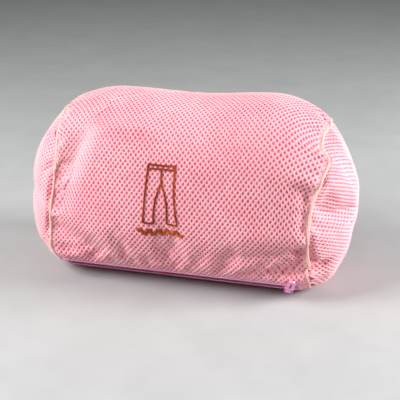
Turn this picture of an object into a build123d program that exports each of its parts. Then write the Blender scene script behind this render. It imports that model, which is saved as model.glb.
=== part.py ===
"""A stuffed mesh laundry bag lying on its long side, with a zip along its lower front edge.

Frame: X along the bag, -Y towards its front, +Z up. The origin is under the middle of the bag,
on the surface that it lies on. All sizes are in millimetres.
"""
from build123d import *
import math
import os

os.makedirs("parts", exist_ok=True)

# The mesh body: its cross-section is a rounded four-sided figure that leans back at the front.
height = 179.0
base_depth = 164.0
front_lean = 34.0
back_lean = 5.0
front_base_radius = 64.0
front_top_radius = 62.0
back_top_radius = 56.0
back_base_radius = 50.0
cloth = 2.4
wrap_half_length = 124.0
straight_half_length = 70.0
seam_top_drop = 13.0
seam_back_inset = 10.0

# The end panels and the bound seams that join them to the wrap.
seam_width = 3.5
seam_ridge = 1.6
seam_allowance = 9.0
floor_gap = 0.05
dome_rise = 38.0
dome_fullness = 0.85

# The zip, measured across the bag from its centre line and outwards from the cloth's outer face.
zip_angle = 52.0
slot_half_width = 7.0
slot_half_length = 116.0
tape_thickness = 0.7
tape_reach = 15.0
tape_half_length = 120.0
tape_gap = 0.6
coil_height = 1.9
coil_half_width = 2.2
coil_pitch = 2.4
coil_turn = 0.8
coil_half_length = 115.2
coil_base = -cloth + 0.02
rail_width = 0.8
tack_position = 114.8
tack_length = 9.0
tack_width = 1.8
tack_height = 0.8
stitch_line = 9.0
stitch_pitch = 5.0
stitch_length = 3.4
stitch_width = 0.7
stitch_height = 0.5
stitch_count = 46

# The slider and its puller.
slider_rest = 107.0
slider_length = 13.0
slider_wide = 10.0
slider_narrow = 7.4
slider_bottom = -4.9
slider_top = 1.0
slider_corner = 2.2
slider_rim = 0.7
post_length = 2.6
post_width = 0.6
post_setback = 1.0
bond = 0.2
bar_height = 3.4
bar_radius = 0.8
bar_clearance = 0.06
eye_radius = 1.9
eye_length = 5.0
foot_thickness = 1.5
foot_width = 2.6
puller_length = 26.0
puller_thickness = 1.7
puller_tilt = 12.0
puller_lean = 11.0

# Where the front face's foot stands, so that the origin is midway between front and back.
front_angle = math.degrees(math.atan2(height, front_lean))
back_angle = math.degrees(math.atan2(height, back_lean))
front_inset = front_base_radius / math.tan(math.radians(front_angle / 2)) - front_base_radius
back_inset = back_base_radius / math.tan(math.radians(back_angle / 2)) - back_base_radius
front_foot = -(base_depth + front_inset - back_inset) / 2
back_foot = front_foot + base_depth
base_arc_y = front_foot + front_inset + front_base_radius
base_arc = (base_arc_y, front_base_radius)


def corners(shrink):
    """The section's four corners. shrink is 0 along the straight middle and 1 at an end seam."""
    top = height - seam_top_drop * shrink
    back = back_foot - seam_back_inset * shrink
    return [
        (front_foot, 0),
        (front_foot + front_lean * top / height, top),
        (back - back_lean * top / height, top),
        (back, 0),
    ]


def section(shrink, inset=0.0):
    """The body's section as a flat face, moved inwards by inset (outwards if negative)."""
    radii = [front_base_radius, front_top_radius, back_top_radius, back_base_radius]
    with BuildSketch() as outline:
        with BuildLine():
            Polyline(*corners(shrink), close=True)
        make_face()
        for corner, radius in zip(corners(shrink), radii):
            nearest = outline.vertices().sort_by_distance(Vector(corner[0], corner[1], 0))[0]
            fillet(nearest, radius)
        if inset:
            offset(amount=-inset, mode=Mode.REPLACE)
    return outline.sketch


def shrink_at(x):
    """How far the section has shrunk towards its seam size at a distance x from the middle."""
    past = max(0.0, abs(x) - straight_half_length)
    return (past / (wrap_half_length - straight_half_length)) ** 2


def arc_plane(distance):
    """The plane that touches the lower front edge's rounding, distance forwards of the zip's centre.

    Its X runs along the bag, its Y up the front and its Z straight out of the cloth.
    """
    angle = math.radians(zip_angle) - distance / front_base_radius
    outward = (0, -math.cos(angle), -math.sin(angle))
    centre = Vector(0, *base_arc)
    return Plane(origin=centre + Vector(*outward) * front_base_radius, x_dir=(1, 0, 0), z_dir=outward)


def arc_strip(inner, outer, start, end):
    """A strip of the ring round the lower front edge, as a flat face."""
    first = 180 + zip_angle - math.degrees(start / front_base_radius)
    last = 180 + zip_angle - math.degrees(end / front_base_radius)
    with BuildSketch() as strip:
        with BuildLine():
            low = CenterArc(base_arc, inner, first, last - first)
            high = CenterArc(base_arc, outer, first, last - first)
            Line(low @ 0, high @ 0)
            Line(low @ 1, high @ 1)
        make_face()
    return strip.sketch


# Section positions along one half, closer together towards the seam, where the shape changes most.
taper = wrap_half_length - straight_half_length
station_shares = [0.0, 0.22, 0.43, 0.61, 0.78, 0.91, 1.0]
stations = [straight_half_length + taper * share for share in station_shares]
wrap_stations = [-x for x in reversed(stations)] + stations
zip_plane = arc_plane(0)

# ---- the mesh wrap: front, top, back and underside in one piece, with a slot for the zip ----
with BuildPart() as mesh_wrap:
    for x in wrap_stations:
        with BuildSketch(Plane.YZ.offset(x)):
            add(section(shrink_at(x)))
    loft(ruled=True)
    for x in wrap_stations:
        with BuildSketch(Plane.YZ.offset(x)):
            add(section(shrink_at(x), inset=cloth))
    loft(ruled=True, mode=Mode.SUBTRACT)
    with BuildSketch(zip_plane):
        Rectangle(2 * slot_half_length, 2 * slot_half_width)
    extrude(amount=3 * cloth, both=True, mode=Mode.SUBTRACT)
mesh_wrap.part.label = "mesh_wrap"
export_step(mesh_wrap.part, "parts/mesh_wrap.step")


# ---- the end panels: domed pieces of the same mesh ----
seam_corners = corners(1)
seam_middle = (
    sum(corner[0] for corner in seam_corners) / 4,
    sum(corner[1] for corner in seam_corners) / 4,
)
panel_start = wrap_half_length + seam_width
dome_steps = [1.0, 0.97, 0.91, 0.82, 0.70, 0.54, 0.34]


def dome_height(size, rise):
    """How far the dome stands out where its section has shrunk to this share of the seam's."""
    return rise * (1 - size**2) ** dome_fullness


def dome_section(size, inset):
    """The seam's section scaled by size, as a flat face."""
    with BuildSketch() as scaled:
        add(section(1, inset=inset))
        scale(by=size, mode=Mode.REPLACE)
    return scaled.sketch


def end_panel(side):
    """A domed end panel. side is -1 for the left end and 1 for the right."""
    with BuildPart() as panel:
        for inset, rise, mode in [
            (0.0, dome_rise, Mode.ADD),
            (cloth, dome_rise - cloth, Mode.SUBTRACT),
        ]:
            for size in dome_steps:
                x = side * (panel_start + dome_height(size, rise))
                shift = 1 - size
                place = Plane(
                    origin=(x, shift * seam_middle[0], shift * seam_middle[1]),
                    x_dir=(0, 1, 0),
                    z_dir=(1, 0, 0),
                )
                with BuildSketch(place):
                    add(dome_section(size, inset))
            loft(ruled=True, mode=mode)
    return panel


left_end_panel = end_panel(-1)
left_end_panel.part.label = "left_end_panel"
export_step(left_end_panel.part, "parts/left_end_panel.step")

right_end_panel = end_panel(1)
right_end_panel.part.label = "right_end_panel"
export_step(right_end_panel.part, "parts/right_end_panel.step")


# ---- the bound seams, flattened where they lie on the surface under the bag ----
def seam_binding(side):
    """The bound seam allowance round one end. side is -1 for the left end and 1 for the right."""
    start = wrap_half_length if side > 0 else -panel_start
    with BuildPart() as binding:
        with BuildSketch(Plane.YZ.offset(start)):
            add(section(1, inset=-seam_ridge))
        extrude(amount=seam_width)
        with BuildSketch(Plane.YZ.offset(start)):
            add(section(1, inset=seam_allowance))
        extrude(amount=seam_width, mode=Mode.SUBTRACT)
        with BuildSketch(Plane.XY.offset(floor_gap)):
            Rectangle(4 * wrap_half_length, 2 * base_depth)
        extrude(amount=-2 * seam_ridge, mode=Mode.SUBTRACT)
    return binding


left_seam_binding = seam_binding(-1)
left_seam_binding.part.label = "left_seam_binding"
export_step(left_seam_binding.part, "parts/left_seam_binding.step")

right_seam_binding = seam_binding(1)
right_seam_binding.part.label = "right_seam_binding"
export_step(right_seam_binding.part, "parts/right_seam_binding.step")


# ---- the zip's two tapes, which lie against the inner face of the cloth ----
def zip_tape(side):
    """One tape. side is 1 for the front one and -1 for the back one."""
    outer = front_base_radius - cloth
    with BuildPart() as tape:
        with BuildSketch(Plane.YZ.offset(-tape_half_length)):
            add(arc_strip(outer - tape_thickness, outer, side * tape_gap, side * tape_reach))
        extrude(amount=2 * tape_half_length)
    return tape


zip_tape_front = zip_tape(1)
zip_tape_front.part.label = "zip_tape_front"
export_step(zip_tape_front.part, "parts/zip_tape_front.step")

zip_tape_back = zip_tape(-1)
zip_tape_back.part.label = "zip_tape_back"
export_step(zip_tape_back.part, "parts/zip_tape_back.step")


# ---- the zip's two coils: each is one strand, drawn as a rail with a row of turns ----
def zip_coil(side):
    """One coil. side is 1 for the front one and -1 for the back one."""
    turns = int(2 * coil_half_length / coil_pitch) - 1
    turn_reach = coil_half_width - tape_gap
    rail_middle = side * (coil_half_width - rail_width / 2)
    turn_middle = side * (tape_gap + turn_reach / 2)
    with BuildPart() as coil:
        with BuildSketch(zip_plane.offset(coil_base)):
            with Locations((0, rail_middle)):
                Rectangle(2 * coil_half_length, rail_width)
            with Locations((side * coil_pitch / 4, turn_middle)):
                with GridLocations(coil_pitch, 1, turns, 1):
                    Rectangle(coil_turn, turn_reach)
        extrude(amount=coil_height)
    return coil


zip_coil_front = zip_coil(1)
zip_coil_front.part.label = "zip_coil_front"
export_step(zip_coil_front.part, "parts/zip_coil_front.step")

zip_coil_back = zip_coil(-1)
zip_coil_back.part.label = "zip_coil_back"
export_step(zip_coil_back.part, "parts/zip_coil_back.step")


# ---- the bar tacks that close the zip at its two ends ----
def bar_tack(side):
    """A short row of thread across the coils. side is -1 for the left end and 1 for the right."""
    with BuildPart() as tack:
        with BuildSketch(zip_plane.offset(coil_base + coil_height)):
            with Locations((side * tack_position, 0)):
                Rectangle(tack_width, tack_length)
        extrude(amount=tack_height)
    return tack


left_bar_tack = bar_tack(-1)
left_bar_tack.part.label = "left_bar_tack"
export_step(left_bar_tack.part, "parts/left_bar_tack.step")

right_bar_tack = bar_tack(1)
right_bar_tack.part.label = "right_bar_tack"
export_step(right_bar_tack.part, "parts/right_bar_tack.step")


# ---- the rows of stitches that hold the cloth's edges on the tapes ----
def hem_stitching(side):
    """A row of separate stitches. side is 1 for the front edge and -1 for the back one."""
    with BuildPart() as stitching:
        with BuildSketch(arc_plane(side * stitch_line)):
            with GridLocations(stitch_pitch, 1, stitch_count, 1):
                SlotOverall(stitch_length, stitch_width)
        extrude(amount=stitch_height)
    return stitching


front_hem_stitching = hem_stitching(1)
front_hem_stitching.part.label = "front_hem_stitching"
export_step(front_hem_stitching.part, "parts/front_hem_stitching.step")

back_hem_stitching = hem_stitching(-1)
back_hem_stitching.part.label = "back_hem_stitching"
export_step(back_hem_stitching.part, "parts/back_hem_stitching.step")


# ---- the slider: two plates joined by a post, with side flanges round the coils ----
slider_plane = Plane(
    origin=zip_plane.origin + Vector(slider_rest, 0, 0),
    x_dir=(1, 0, 0),
    z_dir=zip_plane.z_dir,
)
channel_floor = -3.6
channel_roof = -0.1
slit_roof = -2.05
channel_half_width = coil_half_width + 0.4
foot_height = bar_height + bar_radius + 2 * bond - slider_top + bond
bar_length = eye_length + 2

with BuildPart() as slider_body:
    with BuildSketch(slider_plane.offset(slider_bottom)):
        with BuildLine():
            Polyline(
                (-slider_length / 2, -slider_narrow / 2),
                (slider_length / 2, -slider_wide / 2),
                (slider_length / 2, slider_wide / 2),
                (-slider_length / 2, slider_narrow / 2),
                close=True,
            )
        outline = make_face()
        fillet(outline.vertices(), slider_corner)
    extrude(amount=slider_top - slider_bottom)
    rim = slider_body.faces().sort_by(Axis(slider_plane.origin, slider_plane.z_dir))
    fillet(rim[-1].edges(), slider_rim)
    with BuildSketch(slider_plane.offset(channel_floor)):
        Rectangle(2 * slider_length, 2 * channel_half_width)
    extrude(amount=channel_roof - channel_floor, mode=Mode.SUBTRACT)
    with BuildSketch(slider_plane.offset(channel_floor)):
        Rectangle(2 * slider_length, 2 * slider_wide)
    extrude(amount=slit_roof - channel_floor, mode=Mode.SUBTRACT)
    with BuildSketch(slider_plane.offset(slider_bottom + bond)):
        with Locations((slider_length / 2 - post_setback - post_length / 2, 0)):
            Rectangle(post_length, post_width)
    extrude(amount=slider_top - slider_bottom - 2 * bond)
    # the bridge: two feet with a round bar between them, along the bag
    with BuildSketch(slider_plane.offset(slider_top - bond)):
        with GridLocations(eye_length + foot_thickness + 3 * bond, 1, 2, 1):
            Rectangle(foot_thickness, foot_width)
    extrude(amount=foot_height)
    bar_plane = Plane(
        origin=slider_plane.origin + slider_plane.z_dir * bar_height - Vector(bar_length / 2, 0, 0),
        x_dir=(0, 1, 0),
        z_dir=(1, 0, 0),
    )
    with BuildSketch(bar_plane):
        Circle(bar_radius)
    extrude(amount=bar_length)
slider_body.part.label = "slider_body"
export_step(slider_body.part, "parts/slider_body.step")


# ---- the puller: a flat tab with a long slot, on an eye that turns on the slider's bar ----
pivot = slider_plane.origin + slider_plane.z_dir * bar_height
lean = math.radians(zip_angle - puller_lean)
puller_out = Vector(0, -math.cos(lean), -math.sin(lean))
puller_up = Vector(0, -math.sin(lean), math.cos(lean))
tilt = math.radians(puller_tilt)
puller_across = Vector(1, 0, 0) * math.cos(tilt) - puller_up * math.sin(tilt)
puller_plane = Plane(origin=pivot, x_dir=puller_across, z_dir=puller_out)
eye_plane = Plane(
    origin=pivot - Vector(eye_length / 2, 0, 0),
    x_dir=(0, 1, 0),
    z_dir=(1, 0, 0),
)
neck_plane = Plane(origin=pivot, x_dir=(1, 0, 0), z_dir=puller_out)
neck_shift = 0.9
neck_middle = 2.6
neck_width = 3.2
neck_length = 4.6
shoulder = 4.2
shoulder_slope = 3.3
tip_half_width = 2.4
broad_half_width = 4.6
neck_half_width = 3.4
tip_corner = 2.2
shoulder_corner = 1.0
slot_start = 9.5
slot_end = 22.5
slot_width = 2.0

with BuildPart() as zip_puller:
    with BuildSketch(puller_plane.offset(-puller_thickness / 2)):
        with BuildLine():
            Polyline(
                (-neck_half_width, shoulder),
                (neck_half_width, shoulder),
                (broad_half_width, shoulder + shoulder_slope),
                (tip_half_width, puller_length),
                (-tip_half_width, puller_length),
                (-broad_half_width, shoulder + shoulder_slope),
                close=True,
            )
        tab = make_face()
        tab = fillet(tab.vertices().group_by(Axis.Y)[-1], tip_corner)
        fillet(tab.vertices().group_by(Axis.Y)[0], shoulder_corner)
        with Locations((0, (slot_start + slot_end) / 2)):
            SlotOverall(slot_end - slot_start, slot_width, rotation=90, mode=Mode.SUBTRACT)
    extrude(amount=puller_thickness)
    with BuildSketch(neck_plane.offset(-puller_thickness / 2)):
        with Locations((neck_shift, neck_middle)):
            Rectangle(neck_width, neck_length)
    extrude(amount=puller_thickness)
    with BuildSketch(eye_plane):
        Circle(eye_radius)
    extrude(amount=eye_length)
    with BuildSketch(eye_plane):
        Circle(bar_radius + bar_clearance)
    extrude(amount=bar_length, both=True, mode=Mode.SUBTRACT)
zip_puller.part.label = "zip_puller"
export_step(zip_puller.part, "parts/zip_puller.step")


# ---- the embroidery on the front: a pair of trousers over a plain wavy line ----
front_out = Vector(0, -height, front_lean).normalized()
embroidery_centre = (-11.0, 104.0)
thread_width = 1.3
thread_height = 0.8
front_plane = Plane(
    origin=(
        embroidery_centre[0],
        front_foot + front_lean * embroidery_centre[1] / height,
        embroidery_centre[1],
    ),
    x_dir=(1, 0, 0),
    z_dir=front_out,
)
waist_half_width = 12.9
hem_half_width = 16.8
trouser_top = 28.0
trouser_bottom = -27.0
band_height = 4.5
crotch = 11.0
leg_inset = 5.8

with BuildPart() as embroidery_trousers:
    with BuildSketch(front_plane):
        with BuildLine():
            Polyline(
                (-waist_half_width, trouser_top),
                (waist_half_width, trouser_top),
                (hem_half_width, trouser_bottom),
                (leg_inset, trouser_bottom),
                (0, crotch),
                (-leg_inset, trouser_bottom),
                (-hem_half_width, trouser_bottom),
                close=True,
            )
        make_face()
        offset(amount=-thread_width, kind=Kind.INTERSECTION, mode=Mode.SUBTRACT)
        with Locations((0, trouser_top - band_height)):
            Rectangle(2 * waist_half_width + 1, thread_width)
        with Locations((0, (trouser_top - band_height + crotch) / 2 - thread_width)):
            Rectangle(thread_width, trouser_top - band_height - crotch + thread_width)
    extrude(amount=thread_height)
embroidery_trousers.part.label = "embroidery_trousers"
export_step(embroidery_trousers.part, "parts/embroidery_trousers.step")

wave_drop = -36.5
wave_length = 8.4
wave_height = 2.6
wave_turns = 5

with BuildPart() as embroidery_wave:
    with BuildSketch(front_plane):
        with BuildLine():
            start = -wave_turns * wave_length / 2
            Spline(
                *[
                    (start + wave_length * turn / 4, wave_drop + wave_height * math.sin(turn * math.pi / 2))
                    for turn in range(4 * wave_turns + 1)
                ]
            )
        trace(line_width=thread_width)
    extrude(amount=thread_height)
embroidery_wave.part.label = "embroidery_wave"
export_step(embroidery_wave.part, "parts/embroidery_wave.step")
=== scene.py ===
"""Looks of the stuffed mesh laundry bag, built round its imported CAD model.

The bag's skin is one surface per panel, measured in millimetres across the flat cloth: for the
wrap, along the bag and round it from the zip; for an end panel, across and up. The surfaces are
swelled by a cloth simulation and folded, and then each thread of the knitted face, each seam and
each stitch is laid on them.
"""
import math

import bpy
import numpy as np
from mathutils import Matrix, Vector


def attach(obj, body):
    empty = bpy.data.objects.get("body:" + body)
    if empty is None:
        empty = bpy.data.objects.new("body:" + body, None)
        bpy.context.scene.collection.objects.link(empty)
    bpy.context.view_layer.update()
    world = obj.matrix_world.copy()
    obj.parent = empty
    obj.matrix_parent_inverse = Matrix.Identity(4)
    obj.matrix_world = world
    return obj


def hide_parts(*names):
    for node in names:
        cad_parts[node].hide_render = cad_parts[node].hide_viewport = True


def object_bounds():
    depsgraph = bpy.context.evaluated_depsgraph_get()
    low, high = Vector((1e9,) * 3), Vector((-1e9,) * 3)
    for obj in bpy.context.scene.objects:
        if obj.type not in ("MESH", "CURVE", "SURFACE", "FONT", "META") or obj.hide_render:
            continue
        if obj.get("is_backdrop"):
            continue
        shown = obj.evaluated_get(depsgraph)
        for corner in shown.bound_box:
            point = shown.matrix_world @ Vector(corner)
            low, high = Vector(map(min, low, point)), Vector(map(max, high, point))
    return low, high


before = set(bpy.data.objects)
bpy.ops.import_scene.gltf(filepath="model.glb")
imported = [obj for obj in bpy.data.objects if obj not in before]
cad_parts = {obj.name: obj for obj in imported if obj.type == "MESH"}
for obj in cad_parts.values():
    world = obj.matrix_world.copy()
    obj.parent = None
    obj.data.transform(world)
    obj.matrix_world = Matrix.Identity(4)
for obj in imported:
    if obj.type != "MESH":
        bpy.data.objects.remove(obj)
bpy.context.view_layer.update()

MM = 0.001

# The body, as in the CAD model (millimetres and degrees).
height = 179.0
front_foot = -87.942
base_depth = 164.0
front_lean = 34.0
back_lean = 5.0
radii = (64.0, 62.0, 56.0, 50.0)
seam_x = 125.75
seam_half_width = 1.75
straight_half_length = 70.0
wrap_half_length = 124.0
seam_top_drop = 13.0
seam_back_inset = 10.0
zip_angle = 52.0
slot_half_width = 7.0
slot_half_length = 116.0
tape_reach = 15.0
tape_half_length = 120.0
coil_half_length = 115.2
coil_pitch = 2.4
tack_position = 114.8
stitch_line = 9.0
stitch_pitch = 5.0
stitch_count = 46
base_radius = radii[0]
base_arc = np.array([-10.6416, 64.0])

# The ends before they swell: a little less deep than the CAD model's domes, and squarer.
dome_rise = 36.0
dome_fullness = 0.92
base_fullness = 0.34

# Where the stuffed cloth draws in at its seams, beyond the CAD model's section, and how far it
# is drawn in everywhere to make room for the swelling.
front_recess = 7.0
base_lift = 3.8
slim = 4.5

# The knitted face: staggered rows of upright oval holes between crossing strands.
cell_width = 4.7
row_height = 3.25
hole_half_width = 0.95
hole_half_height = 1.45
strand_depth = 0.5
backing_depth = 0.85
end_tightness = 0.22
end_turn = 104.0
end_reach = 95.0

# The coarse cloth for the simulation.
columns = 37
around = 78
rings = 11
finer = 3
cloth_frames = 24
largest_move = 9.0
pressure = 3.0
seam_gather = 0.045


# ---- the section and the coarse surfaces ----
def rounded(corners, steps=24):
    """A closed line round the four corners, with their fillet radii."""
    line = []
    for i, (corner, radius) in enumerate(zip(corners, radii)):
        corner = np.array(corner)
        back = np.array(corners[i - 1]) - corner
        ahead = np.array(corners[(i + 1) % 4]) - corner
        back /= np.linalg.norm(back)
        ahead /= np.linalg.norm(ahead)
        half = math.acos(back @ ahead) / 2
        inwards = (back + ahead) / np.linalg.norm(back + ahead)
        centre = corner + inwards * radius / math.sin(half)
        first = corner + back * radius / math.tan(half) - centre
        last = corner + ahead * radius / math.tan(half) - centre
        start = math.atan2(first[1], first[0])
        swept = (math.atan2(last[1], last[0]) - start + math.pi) % (2 * math.pi) - math.pi
        turn = start + swept * np.linspace(0, 1, steps + 1)
        line.append(centre + radius * np.stack([np.cos(turn), np.sin(turn)], 1))
    return np.concatenate(line)


def section(shrink, count):
    """count points round the section, evenly spaced from the zip's centre line up the front."""
    top = height - seam_top_drop * shrink
    back = front_foot + base_depth - seam_back_inset * shrink
    line = rounded(
        [
            (front_foot, 0.0),
            (front_foot + front_lean * top / height, top),
            (back - back_lean * top / height, top),
            (back, 0.0),
        ]
    )
    closed = np.concatenate([line, line[:1]])
    steps = np.linalg.norm(np.diff(closed, axis=0), axis=1)
    run = np.concatenate([[0], np.cumsum(steps)])
    start = base_radius * math.radians(90 - zip_angle)
    at = (start + np.arange(count) / count * run[-1]) % run[-1]
    points = np.stack([np.interp(at, run, closed[:, 0]), np.interp(at, run, closed[:, 1])], 1)
    return points, run[-1]


def smooth(value, start, end):
    """0 before start, 1 after end, and a smooth change between."""
    share = np.clip((value - start) / (end - start), 0, 1)
    return share * share * (3 - 2 * share)


def hump(value, centre, width):
    """1 at the centre, falling off smoothly on both sides over width."""
    return np.exp(-(((value - centre) / width) ** 2))


round_length = section(0, 8)[1]
x_line = np.linspace(-seam_x, seam_x, columns)
v_line = np.arange(around) / around * round_length


# How far each seam wanders along the bag, at places round it from the zip.
right_wander = ((60, -2.0), (102, -1.5), (158, 12.5), (171, 3.0), (188, 2.0), (214, 7.0), (265, 0.0))
left_wander = ((35, -1.0), (90, 2.0), (150, 6.0), (190, 3.0), (260, 0.0))


def seam_shift(v, side):
    """How far the seam wanders along the bag, v round it from the zip."""
    wander = right_wander if side > 0 else left_wander
    places, shifts = zip(*wander)
    return np.interp(v, places, shifts) * smooth(v, 20, 60)


def draw_in(x, v):
    """The shift of the wrap's points towards its seams, in Y and Z."""
    near = np.clip((abs(x) - 55) / 70, 0, 1) ** 2
    late = smooth(abs(x), 115, seam_x)
    from_zip = np.minimum(v, round_length - v)
    drawn = late + (near - late) * smooth(from_zip, 12, 40)
    recess = front_recess * drawn * (1 - smooth(v, 175, 230))
    recess = recess * (0.35 + 0.65 * smooth(v, 10, 60))
    below = 1 - smooth(v, 20, 75) + smooth(v, 400, 450)
    lift = base_lift * drawn * below
    return recess, lift


wrap = np.zeros((columns, around, 3))
for i, x in enumerate(x_line):
    bent = max(0.0, abs(x) - straight_half_length) / (wrap_half_length - straight_half_length)
    share = min(1.0, bent**2)
    outline = section(share, around)[0]
    recess, lift = draw_in(x, v_line)
    along = seam_shift(v_line, x) * np.clip((abs(x) - 60) / 65, 0, 1) ** 2
    wrap[i] = np.stack([x + along, outline[:, 0] + recess, outline[:, 1] + lift], 1)

ring_size = 1 - (1 - np.linspace(0, 1, rings)) ** 1.5


def dome(side):
    """One end's rings, from its centre out to the seam."""
    seam = wrap[-1 if side > 0 else 0]
    middle = seam.mean(0)
    out = np.zeros((rings, around, 3))
    for k, size in enumerate(ring_size):
        out[k] = middle + size * (seam - middle)
        below = smooth(middle[2] - seam[:, 2], 0, 70)
        rise = (dome_rise + seam_half_width) * (1 - size**2) ** (dome_fullness - base_fullness * below)
        out[k, :, 0] = side * (seam_x + rise) + size**3 * (seam[:, 0] - side * seam_x)
    return out


domes = {-1: dome(-1), 1: dome(1)}


# ---- swelling the coarse cloth ----
def grid_faces(first, rows, count, flip):
    """Quads between rows of count points that close round on themselves."""
    faces = []
    for i in range(rows - 1):
        for j in range(count):
            low, high = first + i * count, first + (i + 1) * count
            after = (j + 1) % count
            quad = (low + j, high + j, high + after, low + after)
            faces.append(quad[::-1] if flip else quad)
    return faces


def slimmed(points, faces):
    """The closed shape drawn in by the swelling to come, except near the zip and underneath."""
    mesh = bpy.data.meshes.new("slim")
    mesh.from_pydata(points.tolist(), [], faces)
    normals = np.zeros(len(points) * 3)
    mesh.vertices.foreach_get("normal", normals)
    bpy.data.meshes.remove(mesh)
    normals = normals.reshape(-1, 3)
    normals[: columns * around, 0] = 0
    free = smooth(points[:, 2], 2, 30)
    from_zip = np.tile(np.minimum(v_line, round_length - v_line), columns)
    free[: columns * around] *= smooth(from_zip, 14, 45)
    return points - slim * normals * free[:, None]


def closed_shape():
    """The wrap and both ends as one closed mesh, and where each end's own points start."""
    points = [wrap.reshape(-1, 3)]
    faces = grid_faces(0, columns, around, False)
    total = columns * around
    starts = {}
    for side in (-1, 1):
        inner = domes[side][1:-1]
        starts[side] = total
        seam_start = 0 if side < 0 else (columns - 1) * around
        points.append(inner.reshape(-1, 3))
        points.append(domes[side][:1, 0])
        faces += grid_faces(total, rings - 2, around, side > 0)
        last = total + (rings - 3) * around
        centre = total + (rings - 2) * around
        for j in range(around):
            after = (j + 1) % around
            quad = (last + j, seam_start + j, seam_start + after, last + after)
            faces.append(quad[::-1] if side > 0 else quad)
            cap = (centre, total + j, total + after)
            faces.append(cap[::-1] if side > 0 else cap)
        total = centre + 1
    return np.concatenate(points), faces, starts


def run_cloth(start, faces):
    """Blows the cloth up from inside, held along the zip and underneath, and gathered at the seams."""
    mesh = bpy.data.meshes.new("swelling")
    mesh.from_pydata((start * MM).tolist(), [], faces)
    body = bpy.data.objects.new("swelling", mesh)
    bpy.context.scene.collection.objects.link(body)
    held = body.vertex_groups.new(name="held")
    gathered = body.vertex_groups.new(name="gathered")
    near_zip = np.minimum(v_line, round_length - v_line) < 15
    for i in range(columns):
        for j in range(around):
            flat_base = wrap[i, j, 2] < 0.4
            if near_zip[j] or flat_base:
                held.add([i * around + j], 1.0, "REPLACE")
    for i in (0, columns - 1):
        gathered.add(list(range(i * around, (i + 1) * around)), 1.0, "REPLACE")
    modifier = body.modifiers.new("swelling", "CLOTH")
    settings = modifier.settings
    settings.quality = 6
    settings.mass = 0.15
    settings.tension_stiffness = 12
    settings.compression_stiffness = 12
    settings.shear_stiffness = 4
    settings.bending_stiffness = 0.4
    settings.use_pressure = True
    settings.uniform_pressure_force = pressure
    settings.vertex_group_mass = "held"
    settings.vertex_group_shrink = "gathered"
    settings.shrink_min = -seam_gather
    settings.shrink_max = 0.01
    settings.effector_weights.gravity = 0
    scene = bpy.context.scene
    scene.frame_end = cloth_frames
    for step in range(1, cloth_frames + 1):
        scene.frame_set(step)
    shaped = body.evaluated_get(bpy.context.evaluated_depsgraph_get())
    result = np.zeros(len(start) * 3)
    shaped.data.vertices.foreach_get("co", result)
    bpy.data.objects.remove(body)
    bpy.data.meshes.remove(mesh)
    scene.frame_set(1)
    return result.reshape(-1, 3) / MM


def swell():
    """The wrap and ends once swelled, with no point moved far and the seams kept in their places."""
    points, faces, starts = closed_shape()
    start = slimmed(points, faces)
    moved = run_cloth(start, faces) - start
    far = np.linalg.norm(moved, axis=1, keepdims=True)
    kept_share = np.tanh(far / largest_move) * largest_move / np.maximum(far, 1e-6)
    result = start + moved * kept_share
    swelled = result[: columns * around].reshape(columns, around, 3)
    planned = points[: columns * around].reshape(columns, around, 3)
    for end in (0, -1):
        side = 1 if end else -1
        drift = planned[end, :, 0] - swelled[end, :, 0]
        pull = np.clip((x_line * side - 40) / (seam_x - 40), 0, 1)
        swelled[..., 0] += pull[:, None] * drift
        first = starts[side]
        inner = result[first : first + (rings - 2) * around].reshape(rings - 2, around, 3)
        inner[..., 0] += drift * ring_size[1:-1, None] ** 2
    ends = {}
    for side in (-1, 1):
        first = starts[side]
        count = (rings - 2) * around
        inner = result[first : first + count].reshape(rings - 2, around, 3)
        centre = np.repeat(result[first + count][None, None], around, 1)
        seam = swelled[-1 if side > 0 else 0][None]
        beside_seam = seam[0] + domes[side][-2] - domes[side][-1]
        inner[-1] = (inner[-1] + beside_seam) / 2
        ends[side] = rounded_off(np.concatenate([centre, inner, seam]))
    return swelled, ends


def rounded_off(end):
    """An end with its innermost rings made a smooth cap."""
    first, second, third = ring_size[1:4]
    fall = (end[2, :, 0].mean() - end[3, :, 0].mean()) / (third**2 - second**2)
    middle = end[2].mean(0)
    middle[0] += fall * second**2
    end[0] = middle
    end[1, :, 1:] = middle[1:] + (end[2, :, 1:] - middle[1:]) * first / second
    end[1, :, 0] = middle[0] + (end[2, :, 0] - middle[0]) * (first / second) ** 2
    return end


wrap, domes = swell()


# ---- smooth sampling of a surface ----
def bend(t):
    """Weights of four neighbours on a curve through the middle two."""
    return [
        ((2 - t) * t - 1) * t / 2,
        ((3 * t - 5) * t * t + 2) / 2,
        ((4 - 3 * t) * t + 1) * t / 2,
        (t - 1) * t * t / 2,
    ]


def sample(grid, i, j):
    """Points of a grid at fractional rows i and columns j; the columns close round."""
    rows, count = grid.shape[:2]
    i0 = np.clip(np.floor(i).astype(int), 0, rows - 2)
    j0 = np.floor(j).astype(int)
    out = 0
    for a, weight_a in enumerate(bend(i - i0)):
        row = np.clip(i0 + a - 1, 0, rows - 1)
        for b, weight_b in enumerate(bend(j - j0)):
            out = out + (weight_a * weight_b)[..., None] * grid[row, (j0 + b - 1) % count]
    return out


def refine(grid):
    """The same surface with more rows and columns."""
    rows, count = grid.shape[:2]
    i = np.linspace(0, rows - 1, (rows - 1) * finer + 1)
    j = np.arange(count * finer) / finer
    return sample(grid, *np.meshgrid(i, j, indexing="ij"))


def normals_of(grid):
    """Unit normals of a grid with closed columns. They point out, but in on the right-hand end."""
    along = np.gradient(grid, axis=0)
    across = (np.roll(grid, -1, 1) - np.roll(grid, 1, 1)) / 2
    out = np.cross(along, across)
    return out / np.maximum(np.linalg.norm(out, axis=2, keepdims=True), 1e-9)


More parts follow.
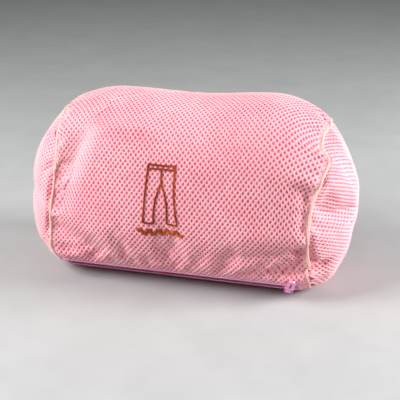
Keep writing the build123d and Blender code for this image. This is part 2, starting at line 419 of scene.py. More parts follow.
# ---- folds ----
def crease(x, v, path, width, rounding=2.0, other_width=None):
    """1 along a path on the flat cloth, falling off at its sides over width."""
    best = np.full(np.shape(x), 1e9)
    side = np.ones(np.shape(x))
    for (x0, v0), (x1, v1) in zip(path, path[1:]):
        run = np.array([x1 - x0, v1 - v0])
        length = np.hypot(*run)
        along = np.clip(((x - x0) * run[0] + (v - v0) * run[1]) / length**2, 0, 1)
        off_x = x - x0 - along * run[0]
        off_v = v - v0 - along * run[1]
        distance = np.hypot(off_x, off_v)
        turn = run[0] * off_v - run[1] * off_x
        nearer = distance < best
        best = np.where(nearer, distance, best)
        side = np.where(nearer, np.sign(turn), side)
    span = np.where(side > 0, width, other_width or width)
    return np.exp(-(np.sqrt(best**2 + rounding**2) - rounding) / span)


def ripples(v, seed):
    """An uneven wave round the bag, between about -1 and 1."""
    phases = np.random.default_rng(seed).uniform(0, 2 * math.pi, 3)
    turn = 2 * math.pi * v / round_length
    return (
        0.5 * np.sin(17 * turn + phases[0])
        + 0.3 * np.sin(26 * turn + phases[1])
        + 0.3 * np.sin(39 * turn + phases[2])
    )


def fold_wrap(grid):
    """The wrap with its folds, edges, hollows and gathers, free of the zip and the floor."""
    rows, count = grid.shape[:2]
    along = np.linspace(-seam_x, seam_x, rows)
    x, v = np.meshgrid(along, np.arange(count) / count * round_length, indexing="ij")
    depth = np.zeros(x.shape)
    # The deep slanting fold by the left end, with a taut patch beyond it.
    depth -= 12 * crease(x, v, [(-88, 158), (-97, 138), (-103, 122)], 22, 8.0, 15)
    depth += 4.5 * crease(x, v, [(-76, 140), (-90, 108)], 16, 6)
    depth += 3 * crease(x, v, [(-117, 172), (-119, 134)], 10, 5)
    # The crisp edge between the front and the top, which fades to the right.
    depth += 5.0 * crease(x, v, [(-88, 160), (-60, 158), (-30, 160)], 10, 1.5)
    depth += 2.0 * crease(x, v, [(-124, 160), (-104, 162)], 12, 2)
    # Edges where the front turns under, and folds drawn towards the right seam.
    depth += 3.0 * crease(x, v, [(-122, 36), (-78, 36)], 11, 1.5)
    depth -= 3.5 * crease(x, v, [(56, 42), (96, 50), (118, 56)], 9, 2.0)
    depth += 2.0 * crease(x, v, [(70, 66), (116, 70)], 12, 4)
    depth += 2.0 * crease(x, v, [(66, 30), (104, 38)], 8, 3)
    depth -= 8.0 * crease(x, v, [(92, 21), (112, 24), (126, 28)], 8, 3.0)
    # Slack in the top, and hollows between the lumps inside.
    depth -= 3.0 * hump(x, 8, 34) * hump(v, 214, 40)
    depth -= 2.0 * hump(x, 46, 30) * hump(v, 150, 34)
    depth += 1.5 * hump(x, 84, 30) * hump(v, 178, 40)
    depth += 3.5 * hump(x, 98, 34) * hump(v, 218, 46)
    depth += 2.5 * hump(x, 60, 50) * hump(v, 232, 40)
    near_zip = np.minimum(v, round_length - v)
    free = smooth(near_zip, 14, 34)
    # Short pleats where the cloth is gathered into the seams.
    from_seam = seam_x - abs(x)
    gather = smooth(from_seam, 0, 6) * np.exp(-from_seam / 12)
    depth += 2.2 * gather * np.where(x > 0, ripples(v, 3), ripples(v, 4))
    grid = grid + normals_of(grid) * (depth * free)[..., None]
    grid[..., 2] = np.maximum(grid[..., 2], 0.0)
    return grid


def fold_end(grid, side):
    """An end panel with its gathers at the seam and its folds."""
    rows, count = grid.shape[:2]
    size = np.linspace(0, 1, rows)[:, None] * np.ones(count)
    v = np.ones(rows)[:, None] * np.arange(count) / count * round_length
    from_seam = (1 - size) * end_reach
    gather = smooth(from_seam, 0, 7) * np.exp(-from_seam / 14)
    depth = 1.5 * gather * ripples(v, 5 + side)
    if side > 0:
        depth += 3.0 * crease(from_seam, v, [(0, 160), (34, 172), (52, 200)], 9, 1.5)
        depth -= 3.0 * crease(from_seam, v, [(0, 176), (26, 196)], 9, 2.0)
        depth -= 3.5 * crease(from_seam, v, [(0, 50), (24, 30)], 8, 2.0)
        depth += 2.5 * crease(from_seam, v, [(6, 20), (34, 8)], 9, 2.0)
    else:
        depth += 2.5 * crease(from_seam, v, [(0, 160), (30, 170)], 9, 2.0)
    grid = grid - side * normals_of(grid) * depth[..., None]
    grid[..., 2] = np.maximum(grid[..., 2], 0.2)
    return grid


plain_wrap = refine(wrap)
wrap = fold_wrap(plain_wrap)
for side in (-1, 1):
    end = refine(domes[side])
    size = np.linspace(0, 1, len(end))[:, None, None]
    edge = -1 if side > 0 else 0
    pulled = end + (wrap[edge] - plain_wrap[edge]) * smooth(size, 0.45, 1.0)
    domes[side] = fold_end(pulled, side)
    domes[side][-1] = wrap[edge]


# ---- the flat cloth's coordinates on each surface ----
def on_wrap(x, v):
    """The point of the wrap at x along it and v round it, in flat millimetres."""
    rows, count = wrap.shape[:2]
    i = (np.clip(x, -seam_x, seam_x) + seam_x) / (2 * seam_x) * (rows - 1)
    return sample(wrap, i, v / round_length * count)


dome_radius = 78.0
size_steps = np.linspace(0, 1, 200)
dome_profile = (dome_rise + seam_half_width) * (1 - size_steps**2) ** dome_fullness
arc_steps = np.hypot(dome_radius * np.diff(size_steps), np.diff(dome_profile))
arc_lengths = np.concatenate([[0], np.cumsum(arc_steps)])
flat_scale = arc_lengths[-1] / dome_radius
outline_steps = 720
seam_outline = section(1, outline_steps)[0]
seam_middle = seam_outline.mean(0)
seam_offset = seam_outline - seam_middle
seam_angle = np.unwrap(np.arctan2(seam_offset[:, 1], seam_offset[:, 0]))
seam_reach = np.hypot(seam_offset[:, 0], seam_offset[:, 1])


def end_position(side, y, z):
    """Ring and v round the seam of a flat point of an end panel, measured from its middle."""
    angle = np.arctan2(z, side * y)
    low = seam_angle[-1]
    angle = (angle - low) % (2 * math.pi) + low
    turns = np.arange(outline_steps) / outline_steps
    share = np.interp(angle, seam_angle[::-1], turns[::-1])
    reach = np.interp(angle, seam_angle[::-1], seam_reach[::-1])
    flat = np.hypot(y, z) / (reach * flat_scale)
    return flat, share


def on_end(side):
    """A function that gives an end panel's point at y across and z up, in flat millimetres."""
    grid = domes[side]
    rows, count = grid.shape[:2]
    ring_of_size = np.interp(size_steps, ring_size, np.arange(rings)) * finer

    def place(y, z):
        flat, share = end_position(side, y, z)
        size = np.interp(np.clip(flat, 0, 1) * arc_lengths[-1], arc_lengths, size_steps)
        ring = np.interp(size, size_steps, ring_of_size)
        return sample(grid, ring, share * count)

    return place


def raised(place, a, b, rise):
    """The surface point at flat a, b lifted off it by rise, and the unit normal there."""
    reach = 0.8
    across = place(a + reach, b) - place(a - reach, b)
    up = place(a, b + reach) - place(a, b - reach)
    out = np.cross(across, up)
    out /= np.maximum(np.linalg.norm(out, axis=-1, keepdims=True), 1e-9)
    return place(a, b) + out * np.broadcast_to(rise, np.shape(a))[..., None], out


# ---- making pieces ----
def piece(name, points, faces, material, replaces=()):
    """A mesh piece that rides on the bag. points are in millimetres, and faces are a list of lists."""
    mesh = bpy.data.meshes.new(name)
    mesh.from_pydata((points * MM).tolist(), [], faces)
    mesh.polygons.foreach_set("use_smooth", [True] * len(mesh.polygons))
    mesh.materials.append(material)
    made = bpy.data.objects.new(name, mesh)
    bpy.context.scene.collection.objects.link(made)
    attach(made, "bag")
    if replaces:
        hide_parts(*replaces)
    return made


def lattice(name, place, rows, span, keep, closing, clip):
    """The knitted face over a range of rows, as crossing strands round oval holes.

    keep says which hole centres to use, closing how far a hole is closed (0 to 1), and clip
    moves flat points inside the panel.
    """
    half = cell_width / 2
    j_line = np.arange(rows[0] - 1, rows[1] + 2)
    k_line = np.arange(-span - 1, span + 2)
    j_grid, k_grid = np.meshgrid(j_line, k_line, indexing="ij")
    count = len(k_line)
    wobble = np.random.default_rng(11)
    cross_a = k_grid * half + wobble.normal(0, 0.10, k_grid.shape)
    cross_b = j_grid * row_height + wobble.normal(0, 0.10, k_grid.shape)
    middle_a = (k_grid + 0.5) * half
    middle_b = (j_grid + 0.5) * row_height
    inner = (j_grid > rows[0] - 1) & (j_grid < rows[1] + 1)
    inner &= (k_grid > -span - 1) & (k_grid < span + 1)
    holes = inner & ((j_grid + k_grid) % 2 == 0) & keep(k_grid * half, j_grid * row_height)
    jj, kk = np.nonzero(holes)
    centre_a = k_grid[jj, kk] * half
    centre_b = j_grid[jj, kk] * row_height
    total = j_grid.size

    def cross(j, k):
        return (jj + j) * count + kk + k

    def middle(j, k):
        return total + (jj + j) * count + kk + k

    outer = np.stack(
        [
            cross(0, 1), middle(0, 0), cross(1, 0), middle(0, -1),
            cross(0, -1), middle(-1, -1), cross(-1, 0), middle(-1, 0),
        ],
        1,
    )
    flat_a = np.concatenate([cross_a.ravel(), middle_a.ravel()])
    flat_b = np.concatenate([cross_b.ravel(), middle_b.ravel()])
    rise = np.concatenate([np.full(total, 0.25), np.full(total, 0.1)])
    turn = np.arange(8) * math.pi / 4
    vary = wobble.normal(1, 0.05, (len(jj), 1))
    size = vary * (1 - 0.8 * closing(centre_a, centre_b))[:, None]
    hole_a = centre_a[:, None] + hole_half_width * size * np.cos(turn)
    hole_b = centre_b[:, None] + hole_half_height * size * np.sin(turn)
    shoulder_a = 0.45 * flat_a[outer] + 0.55 * hole_a
    shoulder_b = 0.45 * flat_b[outer] + 0.55 * hole_b
    first = 2 * total
    shoulder = first + np.arange(len(jj) * 8).reshape(-1, 8)
    hole = shoulder + len(jj) * 8
    flat_a = np.concatenate([flat_a, shoulder_a.ravel(), hole_a.ravel()])
    flat_b = np.concatenate([flat_b, shoulder_b.ravel(), hole_b.ravel()])
    rise = np.concatenate(
        [rise, np.full(len(jj) * 8, -0.18), np.full(len(jj) * 8, -strand_depth)]
    )
    faces = []
    for i in range(8):
        n = (i + 1) % 8
        faces.append(np.stack([outer[:, i], outer[:, n], shoulder[:, n], shoulder[:, i]], 1))
        faces.append(np.stack([shoulder[:, i], shoulder[:, n], hole[:, n], hole[:, i]], 1))
    faces = np.concatenate(faces)
    used, faces = np.unique(faces, return_inverse=True)
    faces = faces.reshape(-1, 4)
    a, b = clip(flat_a[used], flat_b[used])
    points = raised(place, a, b, rise[used])[0]
    return piece(name, points, faces.tolist(), strand)


# ---- materials ----
def linear(red, green, blue):
    """A colour as the screen shows it, turned into the renderer's linear values."""
    return tuple(((c / 255 + 0.055) / 1.055) ** 2.4 for c in (red, green, blue)) + (1.0,)


def fabric(name, light, dark, scale, roughness=0.75, bump=0.25, sheen=0.3, stretch=(1, 1, 1), through=0.0):
    """Spun thread or cloth: two tints in a fine streaked pattern, with relief. The tints are close, except
    in the rust thread, whose dark tint is painted shade of its twist.

    scale sets how fine the pattern is, stretch draws it out, and through lets light into the cloth.
    """
    material = bpy.data.materials.new(name)
    material.use_nodes = True
    nodes = material.node_tree.nodes
    links = material.node_tree.links
    shader = nodes["Principled BSDF"]
    coordinates = nodes.new("ShaderNodeTexCoord")
    mapping = nodes.new("ShaderNodeMapping")
    mapping.inputs["Scale"].default_value = stretch
    links.new(coordinates.outputs["Object"], mapping.inputs["Vector"])
    noise = nodes.new("ShaderNodeTexNoise")
    noise.inputs["Scale"].default_value = scale
    noise.inputs["Detail"].default_value = 3.0
    noise.inputs["Roughness"].default_value = 0.6
    links.new(mapping.outputs["Vector"], noise.inputs["Vector"])
    cloud = nodes.new("ShaderNodeTexNoise")
    cloud.inputs["Scale"].default_value = 28.0
    cloud.inputs["Detail"].default_value = 2.0
    links.new(coordinates.outputs["Object"], cloud.inputs["Vector"])
    both = nodes.new("ShaderNodeMath")
    both.operation = "MULTIPLY_ADD"
    both.inputs[1].default_value = 0.55
    links.new(noise.outputs["Fac"], both.inputs[0])
    half = nodes.new("ShaderNodeMath")
    half.operation = "MULTIPLY"
    half.inputs[1].default_value = 0.45
    links.new(cloud.outputs["Fac"], half.inputs[0])
    links.new(half.outputs["Value"], both.inputs[2])
    ramp = nodes.new("ShaderNodeValToRGB")
    ramp.color_ramp.elements[0].position = 0.36
    ramp.color_ramp.elements[0].color = dark
    ramp.color_ramp.elements[1].position = 0.62
    ramp.color_ramp.elements[1].color = light
    links.new(both.outputs["Value"], ramp.inputs["Fac"])
    links.new(ramp.outputs["Color"], shader.inputs["Base Color"])
    rough = nodes.new("ShaderNodeMapRange")
    rough.inputs["To Min"].default_value = roughness - 0.1
    rough.inputs["To Max"].default_value = min(1.0, roughness + 0.12)
    links.new(noise.outputs["Fac"], rough.inputs["Value"])
    links.new(rough.outputs["Result"], shader.inputs["Roughness"])
    relief = nodes.new("ShaderNodeBump")
    relief.inputs["Strength"].default_value = bump
    relief.inputs["Distance"].default_value = 0.0004
    links.new(noise.outputs["Fac"], relief.inputs["Height"])
    links.new(relief.outputs["Normal"], shader.inputs["Normal"])
    shader.inputs["Sheen Weight"].default_value = sheen
    shader.inputs["Sheen Roughness"].default_value = 0.4
    shader.inputs["Specular IOR Level"].default_value = 0.3
    if through:
        shader.inputs["Subsurface Weight"].default_value = through
        shader.inputs["Subsurface Radius"].default_value = (1.0, 0.45, 0.45)
        shader.inputs["Subsurface Scale"].default_value = 0.0025
    return material


def glossy(name, light, dark, roughness, coat, through=0.0):
    """Moulded or enamelled finish with faint cloudiness and fine wear."""
    material = fabric(name, light, dark, 220.0, roughness, 0.05, 0.0, (1, 1, 1), through)
    shader = material.node_tree.nodes["Principled BSDF"]
    shader.inputs["Coat Weight"].default_value = coat
    shader.inputs["Coat Roughness"].default_value = 0.12
    shader.inputs["Specular IOR Level"].default_value = 0.5
    return material


strand = fabric(
    "mesh_strand", linear(255, 190, 198), linear(248, 170, 180), 900.0, 0.7,
    bump=0.5, sheen=0.12, stretch=(1, 1, 2.5), through=0.25,
)
backing = fabric("mesh_back", linear(255, 118, 150), linear(252, 92, 128), 1300.0, 0.85, bump=0.6, sheen=0.1)
binding = fabric(
    "seam_edge", linear(255, 214, 202), linear(248, 190, 180), 1100.0, 0.75,
    bump=0.6, sheen=0.35, stretch=(3, 1, 1), through=0.2,
)
hem_cloth = fabric(
    "hem_edge", linear(240, 184, 218), linear(226, 156, 200), 1100.0, 0.75,
    bump=0.6, sheen=0.2, stretch=(3, 1, 1), through=0.1,
)
tape_cloth = fabric(
    "zip_tape_weave", linear(232, 150, 205), linear(205, 112, 178), 1500.0, 0.6,
    bump=0.6, sheen=0.3, stretch=(0.5, 2, 2),
)
coil_nylon = fabric(
    "coil_nylon", linear(226, 128, 188), linear(196, 92, 158), 600.0, 0.35, bump=0.1, sheen=0.0
)
pink_thread = fabric("pink_thread", linear(250, 170, 190), linear(232, 140, 165), 2200.0, 0.6, bump=0.7)
cream_thread = fabric("cream_thread", linear(255, 226, 214), linear(250, 206, 194), 2200.0, 0.6, bump=0.7)
# Rust-brown embroidery thread: the light tint is the thread's own colour, and the dark tint is painted shade
# of its twisted plies, mixed in by the fine pattern.
rust_thread_painted_shade = fabric("rust_thread_painted_shade", linear(230, 98, 10), linear(92, 27, 2), 900.0, 0.5, bump=0.6, sheen=0.0)
enamel = glossy("slider_enamel", linear(232, 116, 184), linear(218, 98, 168), 0.25, 0.6)
moulded = glossy("puller_plastic", linear(250, 160, 214), linear(240, 144, 202), 0.28, 0.5, 0.15)


# ---- the knitted faces and their backing ----
edge_x = 125.5
wrap_low = slot_half_width + 0.6
wrap_high = round_length - wrap_low
span = int(edge_x / (cell_width / 2)) + 1


def inside_wrap(a, b):
    """Whether a hole's centre lies on the wrap, clear of its edges and of the zip."""
    return (abs(a) < edge_x - 0.8) & (b > wrap_low + 1) & (b < wrap_high - 1)


def clip_wrap(a, b):
    """The flat point moved inside the wrap."""
    return np.clip(a, -edge_x, edge_x), np.clip(b, wrap_low, wrap_high)


def closing_wrap(a, b):
    """How far a hole is closed: wholly at the seams and the slot, mostly in the taut fold."""
    at_seam = 1 - smooth(edge_x - abs(a), 1.0, 7.0)
    at_slot = 1 - smooth(np.minimum(b - wrap_low, wrap_high - b), 1.0, 6.0)
    taut = 0.8 * crease(a, b, [(-88, 156), (-100, 134), (-108, 114)], 6, 9.0)
    return np.maximum(np.maximum(at_seam, at_slot), taut)


def beyond_slot(a, b):
    """Whether a hole's centre lies between the slot's end and the seam, whatever its b."""
    return (abs(a) > slot_half_length + 1.6) & (abs(a) < edge_x - 0.8)


def clip_beyond(a, b):
    """The flat point moved inside the two strips beyond the slot's ends."""
    return np.clip(abs(a), slot_half_length + 1.0, edge_x) * np.sign(a), np.clip(b, -wrap_low, wrap_low)


# The wrap's face is made in four parts, which meet at these rows.
first_row = int(wrap_low / row_height)
last_row = int(wrap_high / row_height) + 1
meeting_rows = [first_row, 46, 80, 125, last_row]
for label, low, high in zip(("front", "top", "back", "under"), meeting_rows, meeting_rows[1:]):
    lattice(f"mesh_face_{label}", on_wrap, (low, high - 1), span, inside_wrap, closing_wrap, clip_wrap)
lattice("mesh_face_zip_ends", on_wrap, (-2, 2), span, beyond_slot, closing_wrap, clip_beyond)


def closed_sheet(place, a_line, b_count, rise, open_at):
    """A sheet that closes round on itself, without the quads where open_at says it is open."""
    b_line = np.arange(b_count) / b_count * round_length
    a, b = np.meshgrid(a_line, b_line, indexing="ij")
    points = raised(place, a, b, rise)[0]
    index = np.arange(a.size).reshape(a.shape)
    after = np.roll(index, -1, 1)
    faces = np.stack([index[:-1], index[1:], after[1:], after[:-1]], -1)
    step = round_length / b_count
    shut = ~open_at((a[:-1] + a[1:]) / 2, b[:-1] + step / 2)
    return points.reshape(-1, 3), faces[shut].tolist()


def in_slot(a, b):
    """Whether a flat point lies in the zip's slot."""
    return (abs(a) < slot_half_length) & (np.minimum(b, round_length - b) < slot_half_width)


points, faces = closed_sheet(on_wrap, np.linspace(-edge_x, edge_x, 151), 330, -backing_depth, in_slot)
wrap_back = piece("mesh_wrap_back", points, faces, backing, ["mesh_wrap"])


def end_turned(a, b):
    """A flat point of an end's cloth, which is cut a little over a quarter turn from the wrap's."""
    turn = math.radians(end_turn)
    return a * math.cos(turn) - b * math.sin(turn), a * math.sin(turn) + b * math.cos(turn)


cloth_reach = 125
for side, word in ((-1, "left"), (1, "right")):
    place = on_end(side)

    def turned(a, b, place=place):
        return place(*end_turned(a, b))

    def from_middle(a, b, side=side):
        return end_position(side, *end_turned(a, b))[0]

    def inside_end(a, b, from_middle=from_middle):
        return from_middle(a, b) < 0.985

    def closing_end(a, b, from_middle=from_middle):
        at_seam = 1 - smooth((1 - from_middle(a, b)) * end_reach, 1.5, 7.0)
        return np.maximum(at_seam, end_tightness)

    def clip_end(a, b, from_middle=from_middle):
        over = np.maximum(from_middle(a, b) / 0.998, 1)
        return a / over, b / over

    lattice(
        f"{word}_end_face",
        turned,
        (-int(cloth_reach / row_height), int(cloth_reach / row_height)),
        int(cloth_reach / (cell_width / 2)),
        inside_end,
        closing_end,
        clip_end,
    )
    grid = domes[side]
    out = -side * normals_of(grid)
    out[:3] = out[3].mean(0)
    shell = grid - out * backing_depth
    rows, count = grid.shape[:2]
    points = np.concatenate([shell[0, :1], shell[1:].reshape(-1, 3)])
    index = 1 + np.arange((rows - 1) * count).reshape(rows - 1, count)
    after = np.roll(index, -1, 1)
    faces = np.stack([index[:-1], index[1:], after[1:], after[:-1]], -1).reshape(-1, 4).tolist()
    faces += [(0, int(index[0, j]), int(after[0, j])) for j in range(count)]
    if side < 0:
        faces = [f[::-1] for f in faces]
    piece(f"{word}_end_back", points, faces, backing, [f"{word}_end_panel"])


# ---- threads and rolled edges, swept along lines ----
def sweep(line, out, across_radius, out_radius, sides=8, closed=False):
    """A tube along a line, with an oval section set by each point's outward direction."""
    n = len(line)
    if closed:
        tangent = np.roll(line, -1, 0) - np.roll(line, 1, 0)
    else:
        tangent = np.gradient(line, axis=0)
    tangent /= np.maximum(np.linalg.norm(tangent, axis=1, keepdims=True), 1e-9)
    beside = np.cross(tangent, out)
    beside /= np.maximum(np.linalg.norm(beside, axis=1, keepdims=True), 1e-9)
    up = np.cross(beside, tangent)
    turn = np.arange(sides) / sides * 2 * math.pi
    across_radius = np.broadcast_to(across_radius, n)[:, None, None]
    out_radius = np.broadcast_to(out_radius, n)[:, None, None]
    ring = beside[:, None] * np.cos(turn)[None, :, None] * across_radius
    ring = ring + up[:, None] * np.sin(turn)[None, :, None] * out_radius
    points = (line[:, None] + ring).reshape(-1, 3)
    index = np.arange(n * sides).reshape(n, sides)
    ahead = np.roll(index, -1, 0) if closed else index[1:]
    here = index if closed else index[:-1]
    faces = np.stack([here, np.roll(here, -1, 1), np.roll(ahead, -1, 1), ahead], -1).reshape(-1, 4)
    return points, faces.tolist()


def joined(parts):
    """Several meshes as one array of points and one list of faces."""
    points = []
    faces = []
    start = 0
    for some_points, some_faces in parts:
        points.append(some_points)
        faces += [[corner + start for corner in face] for face in some_faces]
        start += len(some_points)
    return np.concatenate(points), faces


# The rolled seams, and the small overlock stitches across them.
count = 640
ridge_across = 1.1
ridge_out = 0.9
overlock_pitch = 2.6
overlock_reach = np.array([1.5, 0, 0])
loop_count = int(round_length / overlock_pitch)
v = np.arange(count) / count * round_length
for side, word in ((-1, "left"), (1, "right")):
    line = on_wrap(np.full(count, side * seam_x), v)
    ahead = np.roll(line, -1, 0) - np.roll(line, 1, 0)
    out = np.cross(np.tile([1.0, 0, 0], (count, 1)), ahead)
    out /= np.linalg.norm(out, axis=1, keepdims=True)
    wave = 1 + 0.08 * np.sin(np.arange(count) * 0.9)
    lifted = line + out * 0.4
    lifted[:, 2] = np.maximum(lifted[:, 2], 1.3)
    points, faces = sweep(lifted, out, ridge_across, ridge_out * wave, 10, True)
    piece(f"{word}_seam_ridge", points, faces, binding, [f"{word}_seam_binding"])
    loops = []
    for number in range(loop_count):
        j = int((number + 0.5) / loop_count * count)
        after = (j + 2) % count
        start = lifted[j] - overlock_reach - out[j] * 0.1
        end = lifted[after] + overlock_reach - out[after] * 0.1
        share = np.linspace(0, 1, 7)[:, None]
        path = start * (1 - share) + end * share + out[j] * 1.1 * np.sin(share * math.pi)
        loops.append(sweep(path, np.tile(out[j], (7, 1)), 0.2, 0.18, 5))
    points, faces = joined(loops)
    points[:, 2] = np.maximum(points[:, 2], 0.05)
    piece(f"{word}_seam_overlock", points, faces, cream_thread)


# ---- the zip: tapes, coils, hem, stitches and bar tacks ----
def on_arc(x, v, rise):
    """A point over the lower front edge's rounding, and the way out of the cloth there."""
    angle = math.radians(zip_angle) - np.asarray(v) / base_radius
    out = np.stack([np.zeros_like(angle), -np.cos(angle), -np.sin(angle)], -1)
    point = out * (base_radius + np.asarray(rise))[..., None]
    point[..., 0] = x
    point[..., 1] += base_arc[0]
    point[..., 2] += base_arc[1]
    return point, out


tape_gap = 0.6
tape_rise = -2.35
tape_hump = 1.25
tape_thickness = 0.65
coil_middle = 1.4
coil_half_width = 0.62
coil_rise = -1.43
coil_half_height = 0.6
stitch_half_length = 1.75
stitch_dip = 0.75
tape_v = np.array([tape_gap, 1.5, 3.0, 5.2, 6.0, 6.8, 7.6, 9.0, 11.0, 13.0, tape_reach])
outer_rise = tape_rise + tape_hump * smooth(tape_v, 5.2, 7.2) * (1 - smooth(tape_v, 7.6, 11.0))
loop_v = np.concatenate([tape_v, tape_v[::-1]])
loop_rise = np.concatenate([outer_rise, outer_rise[::-1] - tape_thickness])
tape_x = np.linspace(-tape_half_length, tape_half_length, 241)
grid_x, grid_v = np.meshgrid(tape_x, loop_v, indexing="ij")
for side, word in ((1, "front"), (-1, "back")):
    grid_rise = np.tile(loop_rise, (len(tape_x), 1))
    wave = 0.22 * np.sin(grid_x / 7.3 + side) + 0.15 * np.sin(grid_x / 3.1 + 2 * side)
    grid_rise = grid_rise + wave * smooth(grid_v, 3.0, 6.5)
    points = on_arc(grid_x, side * grid_v, grid_rise)[0]
    index = np.arange(grid_x.size).reshape(grid_x.shape)
    after = np.roll(index, -1, 1)
    faces = np.stack([index[:-1], index[1:], after[1:], after[:-1]], -1).reshape(-1, 4)
    faces = faces[:, ::side].tolist()
    points = points.reshape(-1, 3)
    piece(f"{word}_tape", points, faces, tape_cloth, [f"zip_tape_{word}"])

    turns = int(2 * coil_half_length / coil_pitch)
    share = np.linspace(0, turns, turns * 10 + 1)
    turn = 2 * math.pi * share
    x = -coil_half_length + coil_pitch * (share + 0.25 * (1 + side) - 0.25)
    v = side * (coil_middle - coil_half_width * np.cos(turn))
    rise = coil_rise + coil_half_height * np.sin(turn)
    line, out = on_arc(x, v, rise)
    points, faces = sweep(line, out, 0.32, 0.30, 6)
    piece(f"{word}_coil", points, faces, coil_nylon, [f"zip_coil_{word}"])

    stitches = []
    share = np.linspace(-1, 1, 9)
    for number in range(stitch_count):
        middle_x = (number - (stitch_count - 1) / 2) * stitch_pitch
        stitch_v = side * (stitch_line + 0.1 * math.sin(number))
        line, out = on_arc(
            middle_x + stitch_half_length * share, np.full(9, stitch_v), 1.0 - stitch_dip * share**4
        )
        stitches.append(sweep(line, out, 0.36, 0.30, 6))
    points, faces = joined(stitches)
    piece(f"{word}_stitches", points, faces, pink_thread, [f"{word}_hem_stitching"])

# The folded hem, one loop round the slot.
corner = 5.0
hem_v = slot_half_width + 1.7
hem_x = slot_half_length + 1.7
straight = np.linspace(-(hem_x - corner), hem_x - corner, 260)
bend_turn = np.linspace(0, math.pi / 2, 9)[1:-1]
short = hem_v - corner
bends = []
for quarter, (towards_x, towards_v) in enumerate(((1, 1), (1, -1), (-1, -1), (-1, 1))):
    turn = bend_turn if quarter % 2 else bend_turn[::-1]
    arc_x = towards_x * (hem_x - corner + corner * np.cos(turn))
    arc_v = towards_v * (short + corner * np.sin(turn))
    bends.append(np.stack([arc_x, arc_v], 1))
upper = np.stack([straight, np.full(len(straight), hem_v)], 1)
lower = np.stack([straight[::-1], np.full(len(straight), -hem_v)], 1)
loop = np.concatenate([upper, *bends[:2], lower, *bends[2:]])
wavy = 1 + 0.03 * np.sin(loop[:, 0] / 6.1) + 0.02 * np.sin(loop[:, 0] / 2.3)
line, out = raised(on_wrap, loop[:, 0], loop[:, 1] * wavy, 0.15)
points, faces = sweep(line, out, 1.5, 0.65, 10, True)
hem = piece("zip_hem", points, faces, hem_cloth)

# The tacks: five long threads across the zip, bound by seventeen short ones.
tack_half_length = 4.3
tack_half_width = 0.95
for side, word in ((-1, "left"), (1, "right")):
    threads = []
    share = np.linspace(-1, 1, 13)
    for number in range(-2, 3):
        x = side * tack_position + number * 0.36 + 0.12 * share * (-1) ** number
        line, out = on_arc(x, tack_half_length * share, -0.9 * share**6)
        threads.append(sweep(line, out, 0.24, 0.22, 6))
    share = np.linspace(-1, 1, 9)
    for number in range(-8, 9):
        x = side * tack_position + tack_half_width * share
        line, out = on_arc(x, number * 0.5 + 0.12 * share, 0.28 - 0.8 * share**4)
        threads.append(sweep(line, out, 0.25, 0.2, 6))
    points, faces = joined(threads)
    piece(f"{word}_tack", points, faces, pink_thread, [f"{word}_bar_tack"])


# ---- the embroidery: twisted thread in short stitches ----
sign_x = -11.0
sign_v = 98.5
ply = 0.44
ply_offset = 0.52
twist = 3.4
stitch = 3.0
stitch_step = 0.33
stitch_sink = 0.55


def stitched(route, lift=0.7):
    """Two plies of thread twisted round a route on the front, dipping in at each stitch's end."""
    steps = np.linalg.norm(np.diff(route, axis=0), axis=1)
    run = np.concatenate([[0], np.cumsum(steps)])
    at = np.linspace(0, run[-1], max(8, int(run[-1] / stitch_step)))
    a = np.interp(at, run, route[:, 0]) + sign_x
    b = np.interp(at, run, route[:, 1]) + sign_v
    stitch_length = run[-1] / max(1, round(run[-1] / stitch))
    dip = np.abs(np.cos(math.pi * at / stitch_length)) ** 6
    line, out = raised(on_wrap, a, b, lift - stitch_sink * dip)
    ahead = np.gradient(line, axis=0)
    beside = np.cross(ahead, out)
    beside /= np.linalg.norm(beside, axis=1, keepdims=True)
    parts = []
    for start in (0, math.pi):
        turn = (2 * math.pi * at / twist + start)[:, None]
        strand_line = line + ply_offset * (np.cos(turn) * beside + np.sin(turn) * out)
        parts.append(sweep(strand_line, out, ply, ply, 7))
    return parts


def satin(route, width=3.2, pitch=0.46):
    """A band of threads laid side by side across a route on the front."""
    steps = np.linalg.norm(np.diff(route, axis=0), axis=1)
    run = np.concatenate([[0], np.cumsum(steps)])
    at = np.arange(pitch, run[-1], pitch)
    ahead = np.gradient(route, run, axis=0)
    ahead /= np.linalg.norm(ahead, axis=1, keepdims=True)
    share = np.linspace(-1, 1, 9)
    parts = []
    for number, distance in enumerate(at):
        a, b = (np.interp(distance, run, route[:, axis]) for axis in (0, 1))
        along, up = (np.interp(distance, run, ahead[:, axis]) for axis in (0, 1))
        half = width / 2 * (1 + 0.06 * math.sin(2.1 * number))
        slant = 0.2 * share * (-1) ** number
        thread_a = sign_x + a - up * half * share + along * slant
        thread_b = sign_v + b + along * half * share + up * slant
        line, out = raised(on_wrap, thread_a, thread_b, 0.95 - 0.9 * share**4)
        parts.append(sweep(line, out, 0.29, 0.26, 6))
    return joined(parts)


def curved(points, bow):
    """A gentle curve between two points, bowed sideways by that much."""
    (x0, y0), (x1, y1) = points
    share = np.linspace(0, 1, 25)
    length = math.hypot(x1 - x0, y1 - y0)
    off = bow * np.sin(math.pi * share)
    x = x0 + (x1 - x0) * share - (y1 - y0) / length * off
    y = y0 + (y1 - y0) * share + (x1 - x0) / length * off
    return np.stack([x, y], 1)


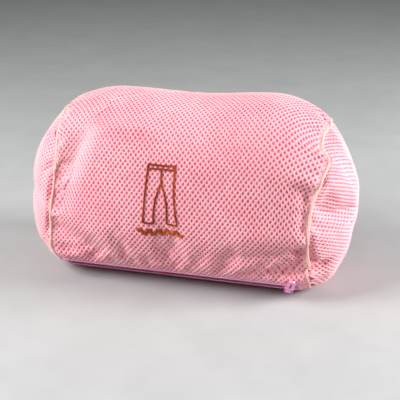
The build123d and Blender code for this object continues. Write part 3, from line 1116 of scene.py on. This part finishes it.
waist = 12.3
hem_half = 16.2
top_line = 27.6
bottom_line = -26.5
band_line = 23.2
crotch = 11.5
inner_hem = 6.2
routes = [
    curved([(-waist, top_line), (waist, top_line)], -0.4),
    curved([(-waist - 0.4, band_line), (0, band_line + 0.6)], 0.2),
    curved([(0, band_line + 0.6), (waist + 0.4, band_line)], 0.2),
    curved([(-waist, top_line), (-hem_half, bottom_line)], -0.3),
    curved([(waist, top_line), (hem_half, bottom_line)], -2.2),
    curved([(0, band_line), (0, crotch)], 0.0),
    curved([(0, crotch), (-inner_hem, bottom_line)], -2.2),
    curved([(0, crotch), (inner_hem, bottom_line)], 2.2),
    curved([(-hem_half, bottom_line), (-inner_hem, bottom_line)], -0.3),
    curved([(hem_half, bottom_line), (inner_hem, bottom_line)], 0.3),
]
threads = []
for route in routes:
    threads += stitched(route)
points, faces = joined(threads)
piece("stitched_trousers", points, faces, rust_thread_painted_shade, ["embroidery_trousers"])

wave_half = 21.0
wave_line = -36.0
wave_height = 2.5
wave_length = 8.4
wave_x = np.linspace(-wave_half, wave_half, 160)
wave_turn = 2 * math.pi * (wave_x + wave_half) / wave_length
points, faces = satin(np.stack([wave_x, wave_line + wave_height * np.sin(wave_turn)], 1))
piece("stitched_wave", points, faces, rust_thread_painted_shade, ["embroidery_wave"])

# ---- camera, light and floor ----
view_azimuth = math.radians(14.0)
view_elevation = math.radians(23.1)
view_distance = 882.0
shift_right = 9.2
shift_down = 14.3
bag_middle = np.array([0.0, -6.2, 89.5])
towards = np.array(
    [
        math.sin(view_azimuth) * math.cos(view_elevation),
        -math.cos(view_azimuth) * math.cos(view_elevation),
        math.sin(view_elevation),
    ]
)
right = np.array([math.cos(view_azimuth), math.sin(view_azimuth), 0.0])
above = np.cross(towards, right)
viewpoint = bag_middle + view_distance * towards + shift_right * right - shift_down * above
lens = bpy.data.cameras.new("camera")
lens.lens = 81.0
lens.sensor_width = 36.0
lens.clip_start = 0.05
lens.clip_end = 50.0
camera = bpy.data.objects.new("camera", lens)
bpy.context.scene.collection.objects.link(camera)
camera.location = Vector(viewpoint * MM)
camera.rotation_euler = Vector(-towards).to_track_quat("-Z", "Y").to_euler()
bpy.context.scene.camera = camera


def lamp(name, position, size, power, colour=(1, 1, 1)):
    """A round soft lamp, in metres and watts, that faces the bag."""
    data = bpy.data.lights.new(name, "AREA")
    data.shape = "DISK"
    data.size = size
    data.energy = power
    data.color = colour
    made = bpy.data.objects.new(name, data)
    made.location = position
    aim = Vector((0, 0, 0.08)) - Vector(position)
    made.rotation_euler = aim.to_track_quat("-Z", "Y").to_euler()
    bpy.context.scene.collection.objects.link(made)


lamp("key", (-0.84, -0.62, 0.86), 0.8, 23.0, (1.0, 0.99, 0.98))
lamp("right_side", (1.25, 0.1, 0.6), 0.6, 28.0)
lamp("top", (-0.2, 0.4, 1.5), 1.0, 1.5)

bpy.context.scene.view_settings.view_transform = "Standard"
world = bpy.data.worlds.new("studio")
bpy.context.scene.world = world
world.use_nodes = True
world.node_tree.nodes["Background"].inputs["Color"].default_value = (0.95, 0.96, 1.0, 1)
world.node_tree.nodes["Background"].inputs["Strength"].default_value = 0.1

floor_mesh = bpy.data.meshes.new("floor")
reach = 6.0
floor_mesh.from_pydata(
    [(-reach, -reach, 0), (reach, -reach, 0), (reach, reach, 0), (-reach, reach, 0)], [], [(0, 1, 2, 3)]
)
floor = bpy.data.objects.new("floor", floor_mesh)
floor.location = (0, 0, -0.0002)
bpy.context.scene.collection.objects.link(floor)
floor_mesh.materials.append(
    fabric("floor_paint", (0.46, 0.47, 0.47, 1), (0.43, 0.44, 0.44, 1), 12.0, 0.7, 0.02, 0.0)
)
floor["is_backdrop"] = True

# ---- the CAD pieces that stay, with their finishes ----
for node, finish in (("slider_body", enamel), ("zip_puller", moulded)):
    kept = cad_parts[node]
    kept.data.materials.clear()
    kept.data.materials.append(finish)

# ---- loops over the sides, which do nothing ----
for side, word in ((-1, "left"), (1, "right")):
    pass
for side in (1, -1):
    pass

low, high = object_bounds()
